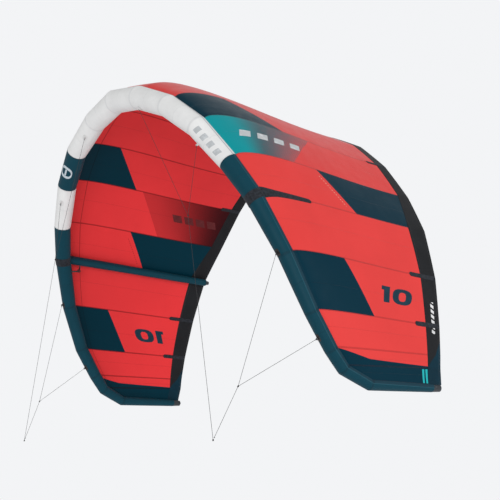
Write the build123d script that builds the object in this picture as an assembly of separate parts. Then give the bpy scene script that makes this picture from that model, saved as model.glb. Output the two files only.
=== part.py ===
from build123d import *
import math
import os

# Inflatable-leading-edge kitesurf kite, 10 square metres, millimetres.
# X runs across the span to the right wing tip, Y runs aft along the chord and Z is up.
# The origin is the centre of the leading-edge tube on the plane of symmetry.

# ---------------------------------------------------------------- driving dimensions
# One row per seam of the right half wing, from the plane of symmetry to the wing tip:
# centre of the leading-edge tube (x, y, z), its radius, the trailing-edge hem (x, y, z),
# camber as a share of the chord, and how far round the tube (degrees from its outer
# side) the canopy is sewn on. The tube is straight from seam to seam.
SEAMS = [
    ((0, 0, 0), 92, (0, 1875, 5), 0.062, 30),
    ((358, 9, -66), 88, (352, 1873, -57), 0.056, 30),
    ((733, 34, -226), 82, (716, 1868, -226), 0.044, 28),
    ((1034, 96, -447), 78, (1008, 1860, -458), 0.039, 20),
    ((1294, 185, -743), 70, (1280, 1838, -765), 0.036, 16),
    ((1466, 282, -1010), 65, (1494, 1787, -1066), 0.013, 15),
    ((1611, 423, -1393), 58, (1632, 1743, -1440), 0.028, 15),
    ((1670, 584, -1761), 53, (1702, 1697, -1792), 0.026, 17),
    ((1680, 733, -1996), 50, (1724, 1675, -1999), 0.021, 22),
    ((1687, 828, -2120), 46, (1727, 1668, -2086), 0.014, 30),
    ((1711, 1029, -2216), 41, None, 0.0, 40),
    ((1726, 1652, -2224), 28, None, 0.0, 45),
]
CENTRE, BADGE_IN, BADGE_OUT, NAVY, STRUT = 0, 2, 3, 4, 5
T1, T2, T3, T4, ELBOW, END = 6, 7, 8, 9, 10, 11
CAMBER_RISE = 0.6  # exponent of the camber curve ahead of its peak
CAMBER_PEAK = 0.20  # chord fraction of the highest point
PROFILE_STEPS = (0, 0.05, 0.12, 0.22, 0.38, 0.58, 0.8, 1)

SLEEVE_WALL = 2.0  # woven polyester sleeve, with its seam allowance
BLADDER_GAP = 0.6  # bladder to sleeve
BLADDER_WALL = 0.8
BLADDER_END = 0.001  # thickness of a bladder's end, as a share of the strut
SEW_GAP = 0.5  # leading-edge tube to canopy edge
CLOTH = 3.0  # ripstop panel
COVER = (0.8, 2.2)  # chafe patch round the tube at the strut: clearance, thickness
COVER_SHARES = (0.89, 0.08)  # of the tube runs on either side of the strut
COVER_AFT = 0.55  # how far aft it reaches inside the wing, as a share of the tube's radius
COVER_SEWN = 4.0  # where it stops ahead of the canopy's edge outside the wing
BAND_WIDTHS = (80, 80, 86, 100, 112, 168, 152, 136, 124, 120, 120)  # at each seam
BAND_CLOTH = 4.0
PANEL_GAP = 0.4

STRUT_RADIUS = (38, 37, 35, 33, 31)  # at the stations below
STRUT_AT = (0.045, 0.22, 0.47, 0.73, 0.985)
STRUT_DROP = 5.0  # canopy to strut
STRUT_CAP = (22, 34)  # radius, length
STRUT_CAP_FLANGE = 4.0
TIP_CAP_FROM = 0.885  # share of the last tube run that the end cap leaves
TIP_KNOB = (12, 12)  # radius, length

HOSE = (6.5, 4.8)  # outer radius, bore radius
HOSE_BEND = 18.0
HOSE_GAP = 3.0  # hose end to strut
HOSE_FROM, HOSE_TO = 0.24, 0.11  # share of the tube run, share of the strut
CLIP_JAW = (16, 26, 4)
CLIP_CHEEK = (16, 3, 20)
CLIP_LEVER = (30, 17, 3.2)
CLIP_LIP = (4, 17, 7)
CLIP_LIFT = 10.4  # hose centre to lever

CORD_RADIUS = 1.3  # braided bridle line
CORD_START = 14.0  # tab hole to cord end
KNOT_GAP = 8.0  # knot centre to each cord end
OPEN_PIVOT = 18.0  # slack left where the lower leader meets the pigtail
PIGTAIL_KNOT = 6.0

# Bridle tabs: seam inboard of the tab, share of the run to the next seam, and the angle
# (degrees) from straight ahead towards the inside of the wing.
TABS = {"inner": (1, 0.31, 55), "outer": (3, 0.33, 45), "low": (5, 0.93, 5), "tip": (7, 0.60, 5)}
TAB_WIDTH, TAB_REACH, TAB_THICK, TAB_HOLE = 18.0, 11.0, 2.4, 3.5

# Bridle junctions and line end of the right side.
UPPER_KNOT = Vector(1053, 18, -1087)
LOWER_KNOT = Vector(1502, 122, -2246)
LINE_END = Vector(1448, -27, -2577)

BATTENS_AT = (BADGE_OUT, T1, T2)
BATTEN = (30, 3, 205)  # width, thickness, length
BATTEN_DROP = 2.6

VALVE_AT = (1, 0.5, 35)  # seam, share of run, degrees from aft towards the inside
VALVE_FLANGE = (32, 3)
VALVE_BARREL = (19, 24)
VALVE_BORE = (11, 20)
CAP_DISC = (21, 7)
CAP_GAP = 0.4
CAP_HINGE = 25.0  # valve axis to cap hinge
CAP_LUG = (10, 8, 3.2)
CAP_EAR = (12, 6)


# ---------------------------------------------------------------- the wing's geometry
def mirrored(point, side):
    return Vector(point[0] * side, point[1], point[2])


def centre(k):
    """Tube centre at seam k; k is negative on the left wing."""
    return mirrored(SEAMS[abs(k)][0], -1 if k < 0 else 1)


def radius(k):
    return SEAMS[abs(k)][1]


def tangent(k):
    """Direction of the tube at seam k, from left to right."""
    low = max(k - 1, -END)
    high = min(k + 1, END)
    before = (centre(k) - centre(low)).normalized() if low < k else Vector(0, 0, 0)
    after = (centre(high) - centre(k)).normalized() if high > k else Vector(0, 0, 0)
    return (before + after).normalized()


def across(vector, along):
    """The part of a direction that is square to another, as a unit vector."""
    return (vector - along * vector.dot(along)).normalized()


def outward(k):
    """Unit normal of the wing at seam k, pointing out of the arch."""
    side = -1 if k < 0 else 1
    if abs(k) >= ELBOW:
        return across(Vector(side, 0, 0), tangent(k))
    chord = mirrored(SEAMS[abs(k)][2], side) - centre(k)
    return tangent(k).cross(chord.normalized()).normalized()


def aft(k):
    return outward(k).cross(tangent(k)).normalized()


def sewn(k, proud=SEW_GAP):
    """Where the canopy's front edge meets the tube."""
    angle = math.radians(SEAMS[abs(k)][4])
    return centre(k) + (outward(k) * math.cos(angle) + aft(k) * math.sin(angle)) * (radius(k) + proud)


def hem(k):
    """Where the canopy's rear edge ends; at the tip it ends on the tube."""
    if abs(k) == ELBOW:
        return sewn(-END if k < 0 else END)
    return mirrored(SEAMS[abs(k)][2], -1 if k < 0 else 1)


def camber(k, s):
    fall = CAMBER_RISE * (1 - CAMBER_PEAK) / CAMBER_PEAK
    top = CAMBER_PEAK**CAMBER_RISE * (1 - CAMBER_PEAK) ** fall
    return SEAMS[abs(k)][3] * s**CAMBER_RISE * (1 - s) ** fall / top


def profile_up(k):
    return across(outward(k), (hem(k) - sewn(k)).normalized())


def profile(k, s, lift=0.0):
    """Point on the canopy at seam k and chord share s, lifted off its inner face."""
    chord = hem(k) - sewn(k)
    return sewn(k) + chord * s + profile_up(k) * (chord.length * camber(k, s) + lift)


def band_share(k):
    return 1 - BAND_WIDTHS[abs(k)] / (hem(k) - sewn(k)).length


# ---------------------------------------------------------------- tubes
def between(k, share):
    """Centre, radius and direction of the tube part of the way to the next seam outward."""
    step = -1 if k < 0 else 1
    middle = centre(k) * (1 - share) + centre(k + step) * share
    size = radius(k) * (1 - share) + radius(k + step) * share
    return middle, size, (centre(k + step) - centre(k)).normalized()


def ring(middle, direction, size):
    return Face(Wire.make_circle(size, Plane(middle, z_dir=direction)))


def seam_ring(k, inset=0.0):
    return ring(centre(k), tangent(k), radius(k) - inset)


def tip_ring(side, share, inset=0.0):
    middle, size, direction = between(side * ELBOW, share)
    return ring(middle, direction * side, size - inset)


def stack(rings):
    """A tube of straight runs through a list of rings."""
    solid = None
    for near, far in zip(rings, rings[1:]):
        run = loft([near, far], ruled=True)
        solid = run if solid is None else solid + run
    return solid


def sleeve(first, last):
    """Hollow sleeve from seam to seam."""
    runs = []
    for k in range(first, last):
        shell = loft([seam_ring(k), seam_ring(k + 1)], ruled=True)
        core = loft([seam_ring(k, SLEEVE_WALL), seam_ring(k + 1, SLEEVE_WALL)], ruled=True)
        runs.append(shell - core)
    whole = runs[0]
    for run in runs[1:]:
        whole = whole + run
    return whole


def tip_sleeve(side):
    """The sleeve round the tip corner and along the tip to its end cap."""
    shell = None
    rings = [(seam_ring(side * k), seam_ring(side * k, SLEEVE_WALL)) for k in (T3, T4, ELBOW)]
    rings.append((tip_ring(side, TIP_CAP_FROM), tip_ring(side, TIP_CAP_FROM, SLEEVE_WALL)))
    for (near, near_core), (far, far_core) in zip(rings, rings[1:]):
        run = loft([near, far], ruled=True) - loft([near_core, far_core], ruled=True)
        shell = run if shell is None else shell + run
    return shell


def tip_end_cap(side):
    """Cup that closes the tube at the trailing-edge corner, with its pull knob."""
    middle, size, direction = between(side * ELBOW, TIP_CAP_FROM)
    end, end_size, _ = between(side * ELBOW, 1.0)
    start = middle + direction * PANEL_GAP
    cup = loft([ring(start, direction, size - 1), ring(end, direction, end_size - 3)], ruled=True)
    knob_radius, knob_length = TIP_KNOB
    knob = Solid.make_cylinder(knob_radius, knob_length, Plane(end - direction * 1, z_dir=direction))
    return cup + knob


def leading_edge_bladder():
    """Airtight tube inside the whole sleeve, closed at both tips."""
    inset = SLEEVE_WALL + BLADDER_GAP
    reach = TIP_CAP_FROM - 0.02

    def rings(depth, end_share):
        left = [tip_ring(-1, end_share, depth)]
        right = [tip_ring(1, end_share, depth)]
        return left + [seam_ring(k, depth) for k in range(-ELBOW, ELBOW + 1)] + right

    outer = stack(rings(inset, reach))
    inner = stack(rings(inset + BLADDER_WALL, reach - 0.004))
    return outer - inner


# ---------------------------------------------------------------- canopy
def panel_face(k, low, high, thick):
    """Closed section of the cloth at seam k between two chord shares."""
    shares = [low + (high - low) * s for s in PROFILE_STEPS]
    under = [profile(k, s) for s in shares]
    over = [profile(k, s, thick) for s in shares]
    edges = [
        Edge.make_spline(under),
        Edge.make_line(under[-1], over[-1]),
        Edge.make_spline(over),
        Edge.make_line(under[0], over[0]),
    ]
    return Face(Wire(edges))


def cloth(first, last, section):
    """Cloth stretched straight between neighbouring seams."""
    whole = None
    for k in range(first, last):
        run = loft([section(k), section(k + 1)], ruled=True)
        whole = run if whole is None else whole + run
    return whole


def canopy_panel(first, last):
    def section(k):
        gap = PANEL_GAP / (hem(k) - sewn(k)).length
        return panel_face(k, 0, band_share(k) - gap, CLOTH)

    return cloth(first, last, section)


def trailing_band(first, last):
    return cloth(first, last, lambda k: panel_face(k, band_share(k), 1, BAND_CLOTH))


def battens(side):
    """Flat stiffeners in their pockets, under the band at the seams that have no strut."""
    wide, thick, length = BATTEN
    strips = []
    for seam in BATTENS_AT:
        k = side * seam
        chord = (hem(k) - sewn(k)).length
        front = profile(k, 1 - length / chord, -BATTEN_DROP)
        rear = profile(k, 1, -BATTEN_DROP) - (hem(k) - sewn(k)).normalized() * 4
        along = (rear - front).normalized()
        up = across(profile_up(k), along)
        plane = Plane((front + rear) / 2 - up * thick / 2, x_dir=along, z_dir=up)
        strips.append(plane * Box((rear - front).length, wide, thick))
    return strips


# ---------------------------------------------------------------- struts
def strut_axis(side, share, size):
    return profile(side * STRUT, share, -size - STRUT_DROP)


def strut_rings(side, inset=0.0, trim=0.0):
    """Rings along the strut, its two ends drawn in by a share of the chord."""
    shares = [STRUT_AT[0] + trim, *STRUT_AT[1:-1], STRUT_AT[-1] - trim]
    axis = [strut_axis(side, share, size) for share, size in zip(shares, STRUT_RADIUS)]
    rings = []
    for index, size in enumerate(STRUT_RADIUS):
        ahead = axis[max(index - 1, 0)]
        behind = axis[min(index + 1, len(axis) - 1)]
        rings.append(ring(axis[index], (behind - ahead).normalized(), size - inset))
    return rings


def strut_sleeve(side):
    whole = None
    outer, inner = strut_rings(side), strut_rings(side, SLEEVE_WALL)
    for near, far, near_core, far_core in zip(outer, outer[1:], inner, inner[1:]):
        run = loft([near, far], ruled=True) - loft([near_core, far_core], ruled=True)
        whole = run if whole is None else whole + run
    return whole


def strut_bladder(side):
    """Airtight tube inside the strut sleeve, closed at both ends."""
    inset = SLEEVE_WALL + BLADDER_GAP
    outer = stack(strut_rings(side, inset))
    return outer - stack(strut_rings(side, inset + BLADDER_WALL, BLADDER_END))


def strut_end(side):
    """Rear end of the strut: centre and direction."""
    last = strut_axis(side, STRUT_AT[-1], STRUT_RADIUS[-1])
    before = strut_axis(side, STRUT_AT[-2], STRUT_RADIUS[-2])
    return last, (last - before).normalized()


def strut_end_cap(side):
    end, direction = strut_end(side)
    cap_radius, cap_length = STRUT_CAP
    start = end + direction * 1.2
    foot = start + direction * (STRUT_CAP_FLANGE - 0.1)
    flange = Solid.make_cylinder(STRUT_RADIUS[-1] - 1, STRUT_CAP_FLANGE, Plane(start, z_dir=direction))
    return flange + Solid.make_cone(cap_radius, cap_radius - 6, cap_length, Plane(foot, z_dir=direction))


def strut_joint_cover(side):
    """Chafe patch round the front of the tube at the strut."""
    k = side * STRUT
    clear, thick = COVER
    near, near_size, near_way = between(side * (STRUT - 1), COVER_SHARES[0])
    far, far_size, far_way = between(k, COVER_SHARES[1])

    def shell(depth):
        return stack(
            [
                ring(near, near_way, near_size + depth),
                ring(centre(k), tangent(k) * side, radius(k) + depth),
                ring(far, far_way, far_size + depth),
            ]
        )

    length = 4 * radius(k)
    front = centre(k) + aft(k) * (COVER_AFT * radius(k) - length / 2)
    keep = Plane(front, x_dir=tangent(k), z_dir=aft(k)) * Box(length, length, length)
    stop = math.sin(math.radians(SEAMS[STRUT][4])) * radius(k) - COVER_SEWN
    beyond = centre(k) + aft(k) * (stop + length / 2) + outward(k) * length / 2
    canopy_side = Plane(beyond, x_dir=tangent(k), z_dir=aft(k)) * Box(length, length, length)
    return ((shell(clear + thick) - shell(clear)) & keep) - canopy_side


# ---------------------------------------------------------------- fittings on the struts
def hose_points(side):
    """Route of the air hose from the leading edge, past its clip, into the strut."""
    k = side * STRUT
    middle, size, way = between(k, HOSE_FROM)
    out = (aft(k) * 0.85 - outward(k) * 0.53).normalized()
    start = middle + out * (size + 1)
    beside_size = STRUT_RADIUS[0]
    strut_point = strut_axis(side, HOSE_TO, beside_size)
    beside = (across(way, (hem(k) - sewn(k)).normalized()) * 0.94 - outward(k) * 0.34).normalized()
    finish = strut_point + beside * (beside_size + HOSE_GAP)
    return [start, start + out * 48, finish + beside * 42, finish]


def onepump_hose(side):
    points = hose_points(side)
    path = FilletPolyline(*points, radius=HOSE_BEND)
    mouth = Plane(points[0], z_dir=points[1] - points[0])
    outer, bore = (sweep(mouth * Circle(size), path=path) for size in HOSE)
    return outer - bore


def clip_plane(side):
    """Frame of the pinch clip: X along the hose, Z towards the lever."""
    points = hose_points(side)
    along = (points[2] - points[1]).normalized()
    up = across(outward(side * STRUT) * -1, along)
    return Plane((points[1] + points[2]) / 2, x_dir=along, z_dir=up)


def hose_clip(side):
    """Fixed jaw of the pinch clip, with the two cheeks that carry the lever's pin."""
    jaw = Pos(0, 0, -9.2) * Box(*CLIP_JAW)
    cheeks = [Pos(0, y, -1.2) * Box(*CLIP_CHEEK) for y in (-10.6, 10.6)]
    return clip_plane(side) * (jaw + cheeks[0] + cheeks[1])


def hose_clip_lever(side):
    """Lever that pinches the hose, with a lip to lift it by; shown shut."""
    bar = Pos(0, 0, CLIP_LIFT) * Box(*CLIP_LEVER)
    lip = Pos(CLIP_LEVER[0] / 2 + CLIP_LIP[0] / 2, 0, CLIP_LIFT + 2) * Box(*CLIP_LIP)
    return clip_plane(side) * (bar + lip)


# ---------------------------------------------------------------- inflation valve
def valve_plane():
    """Frame of the valve: Z out of its mouth, X along the tube."""
    k, share, angle = VALVE_AT
    middle, size, way = between(k, share)
    inside = across(outward(k) * -1, way)
    back = across(aft(k), way)
    turn = math.radians(angle)
    out = (back * math.cos(turn) + inside * math.sin(turn)).normalized()
    return Plane(middle + out * (size + 1), x_dir=way, z_dir=out)


def inflation_valve():
    flange_radius, flange_thick = VALVE_FLANGE
    barrel_radius, barrel_height = VALVE_BARREL
    bore_radius, bore_depth = VALVE_BORE
    flange = Pos(0, 0, flange_thick / 2) * Cylinder(flange_radius, flange_thick)
    barrel = Pos(0, 0, barrel_height / 2) * Cylinder(barrel_radius, barrel_height)
    bore = Pos(0, 0, barrel_height - bore_depth / 2) * Cylinder(bore_radius, bore_depth)
    lug = Pos(0, CAP_HINGE - CAP_LUG[1] / 2, barrel_height - CAP_LUG[2] / 2) * Box(*CAP_LUG)
    return valve_plane() * (flange + barrel + lug - bore)


def valve_cap():
    cap_radius, cap_height = CAP_DISC
    base = VALVE_BARREL[1] + CAP_GAP
    disc = Pos(0, 0, base + cap_height / 2) * Cylinder(cap_radius, cap_height)
    ear_width, ear_length = CAP_EAR
    ear_middle = CAP_HINGE - ear_length / 2
    ear = Pos(0, ear_middle, base + cap_height / 2) * Box(ear_width, ear_length, cap_height)
    return valve_plane() * (disc + ear)


# ---------------------------------------------------------------- bridle
def tab_frame(side, name):
    """Foot of a tab on the tube, the way it sticks out, and the tube's direction."""
    seam, share, angle = TABS[name]
    k = side * seam
    middle, size, way = between(k, share)
    turn = math.radians(angle)
    out = across((aft(k) * math.cos(turn) + outward(k) * math.sin(turn)) * -1, way)
    return middle + out * (size + SEW_GAP), out, way


def tab_hole(side, name):
    foot, out, _ = tab_frame(side, name)
    return foot + out * TAB_REACH


def bridle_tab(side, name):
    """Webbing tab with an eyelet, sewn to the front of the tube."""
    foot, out, way = tab_frame(side, name)
    plane = Plane(foot, x_dir=out, z_dir=out.cross(way))
    web = Pos(TAB_REACH / 2, 0, 0) * Box(TAB_REACH, TAB_WIDTH, TAB_THICK)
    nose = Pos(TAB_REACH, 0, 0) * Cylinder(TAB_WIDTH / 2, TAB_THICK)
    eye = Pos(TAB_REACH, 0, 0) * Cylinder(TAB_HOLE, 3 * TAB_THICK)
    return plane * (web + nose - eye)


def cord(start, finish):
    way = (finish - start).normalized()
    return Solid.make_cylinder(CORD_RADIUS, (finish - start).length, Plane(start, z_dir=way))


def toward(start, finish, distance):
    return start + (finish - start).normalized() * distance


def bridle(side):
    """The six taut lines of one side, as (name, solid)."""
    upper, lower, end = (mirrored((p.X, p.Y, p.Z), side) for p in (UPPER_KNOT, LOWER_KNOT, LINE_END))
    for name, knot in (("inner", upper), ("outer", upper), ("low", lower), ("tip", lower)):
        hole = tab_hole(side, name)
        yield f"bridle_{name}_line", cord(toward(hole, knot, CORD_START), toward(knot, hole, KNOT_GAP))
    yield "bridle_upper_leader", cord(toward(upper, end, KNOT_GAP), toward(end, upper, PIGTAIL_KNOT + 0.3))
    yield "bridle_lower_leader", cord(toward(lower, end, KNOT_GAP), toward(end, lower, OPEN_PIVOT))


def pigtail_knot(side):
    """Stopper knot that the flying line loops over."""
    return Pos(LINE_END.X * side, LINE_END.Y, LINE_END.Z) * Sphere(PIGTAIL_KNOT)


# ---------------------------------------------------------------- writing the parts
def write(name, shape):
    export_step(shape, f"parts/{name}.step")


def wing_side(word, side):
    """Everything that both wings have, on one side."""

    def span(inner, outer):
        return (inner, outer) if side > 0 else (-outer, -inner)

    write(f"le_sleeve_{word}_lower", sleeve(*span(NAVY, T3)))
    write(f"le_sleeve_{word}_tip", tip_sleeve(side))
    write(f"tip_end_cap_{word}", tip_end_cap(side))
    names = ("centre", "inner", "shoulder", "upper", "middle", "lower")
    edges = (CENTRE, BADGE_IN, BADGE_OUT, NAVY, STRUT, T1, T2)
    for name, inner, outer in zip(names, edges, edges[1:]):
        write(f"canopy_{name}_{word}", canopy_panel(*span(inner, outer)))
    write(f"canopy_tip_{word}", canopy_panel(*span(T2, ELBOW)))
    write(f"trailing_band_{word}", trailing_band(*span(CENTRE, ELBOW)))
    write(f"strut_sleeve_{word}", strut_sleeve(side))
    write(f"strut_bladder_{word}", strut_bladder(side))
    write(f"strut_end_cap_{word}", strut_end_cap(side))
    write(f"strut_joint_cover_{word}", strut_joint_cover(side))
    write(f"onepump_hose_{word}", onepump_hose(side))
    write(f"hose_clip_{word}", hose_clip(side))
    write(f"hose_clip_lever_{word}", hose_clip_lever(side))
    for name, line in bridle(side):
        write(f"{name}_{word}", line)
    write(f"pigtail_knot_{word}", pigtail_knot(side))


def main():
    os.makedirs("parts", exist_ok=True)
    write("le_sleeve_centre", sleeve(-BADGE_IN, BADGE_IN))
    write("le_sleeve_left_badge", sleeve(-BADGE_OUT, -BADGE_IN))
    write("le_sleeve_left_upper", sleeve(-NAVY, -BADGE_OUT))
    write("le_sleeve_right_upper", sleeve(BADGE_IN, NAVY))
    write("le_bladder", leading_edge_bladder())
    wing_side("left", -1)
    wing_side("right", 1)
    write("batten_pockets", Compound(battens(-1) + battens(1)))
    write("bridle_tabs", Compound([bridle_tab(side, name) for side in (-1, 1) for name in TABS]))
    write("inflation_valve", inflation_valve())
    write("valve_cap", valve_cap())


main()
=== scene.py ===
import math
from functools import partialmethod

import bpy
import numpy as np
from mathutils import Matrix, Vector


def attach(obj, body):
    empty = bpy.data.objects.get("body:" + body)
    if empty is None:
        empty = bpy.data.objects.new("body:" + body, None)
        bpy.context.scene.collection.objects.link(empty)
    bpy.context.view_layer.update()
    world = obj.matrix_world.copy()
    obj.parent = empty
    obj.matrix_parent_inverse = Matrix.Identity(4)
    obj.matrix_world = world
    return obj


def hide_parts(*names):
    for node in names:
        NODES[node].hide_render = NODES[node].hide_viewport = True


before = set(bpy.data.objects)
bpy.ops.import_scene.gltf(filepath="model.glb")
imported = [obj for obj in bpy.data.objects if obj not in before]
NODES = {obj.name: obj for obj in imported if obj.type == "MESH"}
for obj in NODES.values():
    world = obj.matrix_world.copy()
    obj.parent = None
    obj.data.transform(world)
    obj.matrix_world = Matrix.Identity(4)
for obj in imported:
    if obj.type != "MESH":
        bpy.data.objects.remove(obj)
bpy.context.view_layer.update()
show = bpy.context.scene.collection.objects.link
SIDES = (("left", -1), ("right", 1))

# ---- camera
CAMERA_AT = (6.906, -3.589, -2.587)
CAMERA_RIGHT = Vector((0.57537, 0.81790, 0.0))
CAMERA_UP = Vector((0.14808, -0.10417, 0.98347))
CAMERA_BACK = Vector((0.80438, -0.56586, -0.18105))
camera_data = bpy.data.cameras.new("camera")
camera_data.lens = 75
camera_data.sensor_width = 36
camera_data.clip_end = 200
camera = bpy.data.objects.new("camera", camera_data)
show(camera)
camera.matrix_world = Matrix.Translation(CAMERA_AT) @ Matrix(
    (CAMERA_RIGHT, CAMERA_UP, CAMERA_BACK)
).transposed().to_4x4()
bpy.context.scene.camera = camera

# ---- the wing's geometry
# One row per seam of the right half wing, in mm: tube centre, radius, hem, camber, sewing angle.
SEAMS = [
    ((0, 0, 0), 92, (0, 1875, 5), 0.062, 30),
    ((358, 9, -66), 88, (352, 1873, -57), 0.056, 30),
    ((733, 34, -226), 82, (716, 1868, -226), 0.044, 28),
    ((1034, 96, -447), 78, (1008, 1860, -458), 0.039, 20),
    ((1294, 185, -743), 70, (1280, 1838, -765), 0.036, 16),
    ((1466, 282, -1010), 65, (1494, 1787, -1066), 0.013, 15),
    ((1611, 423, -1393), 58, (1632, 1743, -1440), 0.028, 15),
    ((1670, 584, -1761), 53, (1702, 1697, -1792), 0.026, 17),
    ((1680, 733, -1996), 50, (1724, 1675, -1999), 0.021, 22),
    ((1687, 828, -2120), 46, (1727, 1668, -2086), 0.014, 30),
    ((1711, 1029, -2216), 41, None, 0.0, 40),
    ((1726, 1652, -2224), 28, None, 0.0, 45),
]
BADGE_OUT, NAVY, STRUT, T1, T2, ELBOW, END = 3, 4, 5, 6, 7, 10, 11
CAMBER_RISE, CAMBER_PEAK = 0.6, 0.20
BAND_WIDTHS = (80, 80, 86, 100, 112, 168, 152, 136, 124, 120, 120, 120)
MM = 0.001


def unit(v):
    return v / np.linalg.norm(v, axis=-1, keepdims=True)


def seam_value(k, column):
    row = SEAMS[abs(k)][column]
    if column not in (0, 2):
        return row
    return np.array([-row[0] if k < 0 else row[0], row[1], row[2]]) * MM


def seam_tables():
    """Tube centre, radius and frame, and canopy line, at every seam from left to right."""
    ks = range(-END, END + 1)
    centre = np.array([seam_value(k, 0) for k in ks])
    size = np.array([seam_value(k, 1) for k in ks]) * MM
    run = unit(np.diff(centre, axis=0))
    along = unit(np.vstack([run[:1], run]) + np.vstack([run, run[-1:]]))
    out = []
    for index, k in enumerate(ks):
        if abs(k) >= ELBOW:
            out.append(np.array([math.copysign(1, k), 0, 0]))
        else:
            out.append(np.cross(along[index], unit(seam_value(k, 2) - centre[index])))
    out = np.array(out)
    out = unit(out - along * (out * along).sum(1, keepdims=True))
    aft = np.cross(out, along)
    sew = np.radians([seam_value(k, 4) for k in ks])[:, None]
    sewn = centre + (np.cos(sew) * out + np.sin(sew) * aft) * (size[:, None] + 0.5 * MM)
    hem = np.array([seam_value(k, 2) if abs(k) < ELBOW else centre[0] for k in ks])
    hem[END - ELBOW], hem[END + ELBOW] = sewn[0], sewn[-1]
    chord = hem - sewn
    length = np.linalg.norm(chord, axis=1)
    length[[0, -1]] = 1
    up = unit(out - chord * (out * chord).sum(1, keepdims=True) / length[:, None] ** 2)
    bend = np.array([seam_value(k, 3) for k in ks])
    return centre, size, out, aft, sew[:, 0], sewn, chord, length, up, bend


CENTRE, SIZE, OUT, AFT, SEW, SEWN, CHORD, LENGTH, UP, BEND = seam_tables()
TUBE_RUN = np.concatenate([[0], np.cumsum(np.linalg.norm(np.diff(CENTRE, axis=0), axis=1))])
BAND_RUN = np.array([BAND_WIDTHS[abs(k)] for k in range(-END, END + 1)]) * MM


def row_of(k):
    return k + END


def around(count, first=0.0):
    """Angles evenly round a circle."""
    return np.linspace(first, first + 2 * math.pi, count, endpoint=False)


def profile(rows, shares):
    """Points of the canopy's inner face at seams (table rows) and chord shares."""
    fall = CAMBER_RISE * (1 - CAMBER_PEAK) / CAMBER_PEAK
    top = CAMBER_PEAK**CAMBER_RISE * (1 - CAMBER_PEAK) ** fall
    s = np.clip(shares, 0, 1)
    rise = BEND[rows] * LENGTH[rows] * s**CAMBER_RISE * (1 - s) ** fall / top
    return SEWN[rows] + CHORD[rows] * np.asarray(shares)[..., None] + UP[rows] * rise[..., None]


MID_LINE = profile(np.arange(1, 2 * END), np.full(2 * END - 1, 0.5))
SPAN_RUN = np.concatenate([[0, 0], np.cumsum(np.linalg.norm(np.diff(MID_LINE, axis=0), axis=1)), [0]])


def smoothstep(low, high, x):
    t = np.clip((x - low) / (high - low), 0, 1)
    return t * t * (3 - 2 * t)


ROUNDING = 0.42  # how far the canopy rounds off between seams
BILLOW = 2.0 * MM  # how far each panel swells between its seams
PUFF = 0.6 * MM  # how far the inflated tube swells between its seams
FLAT_FROM, FLAT_TO = 8.9, 9.7  # seam coordinates over which the tip goes flat


def skin(u, s):
    """Points on the canopy's inner face at seam coordinate u and chord share s."""
    u, s = np.broadcast_arrays(np.asarray(u, float), np.asarray(s, float))
    k = np.clip(np.floor(u), -ELBOW, ELBOW - 1).astype(int)
    t = (u - k)[..., None]
    near, far = profile(row_of(k), s), profile(row_of(k + 1), s)
    before = np.where((k > -ELBOW)[..., None], profile(row_of(np.maximum(k - 1, -ELBOW)), s), 2 * near - far)
    after = np.where((k < ELBOW - 1)[..., None], profile(row_of(np.minimum(k + 2, ELBOW)), s), 2 * far - near)
    steps = near - before, far - near, after - far
    gap = [np.maximum(np.linalg.norm(step, axis=-1, keepdims=True), 1e-6) for step in steps]
    slope = [step / size for step, size in zip(steps, gap)]
    leave = (slope[0] * gap[1] + slope[1] * gap[0]) / (gap[0] + gap[1]) * gap[1]
    arrive = (slope[1] * gap[2] + slope[2] * gap[1]) / (gap[1] + gap[2]) * gap[1]
    curved = (
        near * (2 * t**3 - 3 * t**2 + 1)
        + leave * (t**3 - 2 * t**2 + t)
        + far * (3 * t**2 - 2 * t**3)
        + arrive * (t**3 - t**2)
    )
    straight = near * (1 - t) + far * t
    weight = ROUNDING * smoothstep(0, 0.16, s) * (1 - 0.4 * smoothstep(0.85, 1, s))
    tip = 1 - smoothstep(FLAT_FROM, FLAT_TO, np.abs(u))
    point = straight + (curved - straight) * (weight * tip)[..., None]
    up = UP[row_of(k)] * (1 - t) + UP[row_of(k + 1)] * t
    puff = BILLOW * np.sin(math.pi * t[..., 0]) ** 0.8 * np.sin(math.pi * np.clip(s, 0, 1)) ** 0.7 * tip
    return point + up * puff[..., None]


def skin_normal(u, s):
    u, s = np.broadcast_arrays(np.asarray(u, float), np.asarray(s, float))
    step = 0.01
    across = skin(np.minimum(u + step, ELBOW), s) - skin(np.maximum(u - step, -ELBOW), s)
    back = skin(u, np.minimum(s + step, 1)) - skin(u, np.maximum(s - step, 0))
    return unit(np.cross(across, back))


def skin_off(u, s, *lifts):
    """Layers of points at some heights off the canopy's inner face."""
    base, normal = skin(u, s), skin_normal(u, s)
    return [base + normal * np.asarray(lift)[..., None] for lift in lifts]


def between_rows(table, u):
    k = np.clip(np.floor(u), -END, END - 1).astype(int)
    t = u - k
    return table[row_of(k)] * (1 - t) + table[row_of(k + 1)] * t


def seam_distance(u, run):
    """Metres from the nearest seam, with the sign of the side it is on."""
    near = np.round(u)
    here = between_rows(run, u)
    return here - between_rows(run, near)


def tube(u, turn, lift=0.0):
    """Points on the leading-edge tube; turn is the angle from outward towards aft."""
    u, turn = np.broadcast_arrays(np.asarray(u, float), np.asarray(turn, float))
    k = np.clip(np.floor(u), -END, END - 1).astype(int)
    t = (u - k)[..., None]
    ends = []
    for row in (row_of(k), row_of(k + 1)):
        way = np.cos(turn)[..., None] * OUT[row] + np.sin(turn)[..., None] * AFT[row]
        ends.append(CENTRE[row] + way * (SIZE[row] + lift)[..., None])
    return ends[0] * (1 - t) + ends[1] * t


# ---- meshes
SHARP_FROM = math.radians(50)


def link(obj, body):
    show(obj)
    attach(obj, body)
    return obj


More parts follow.
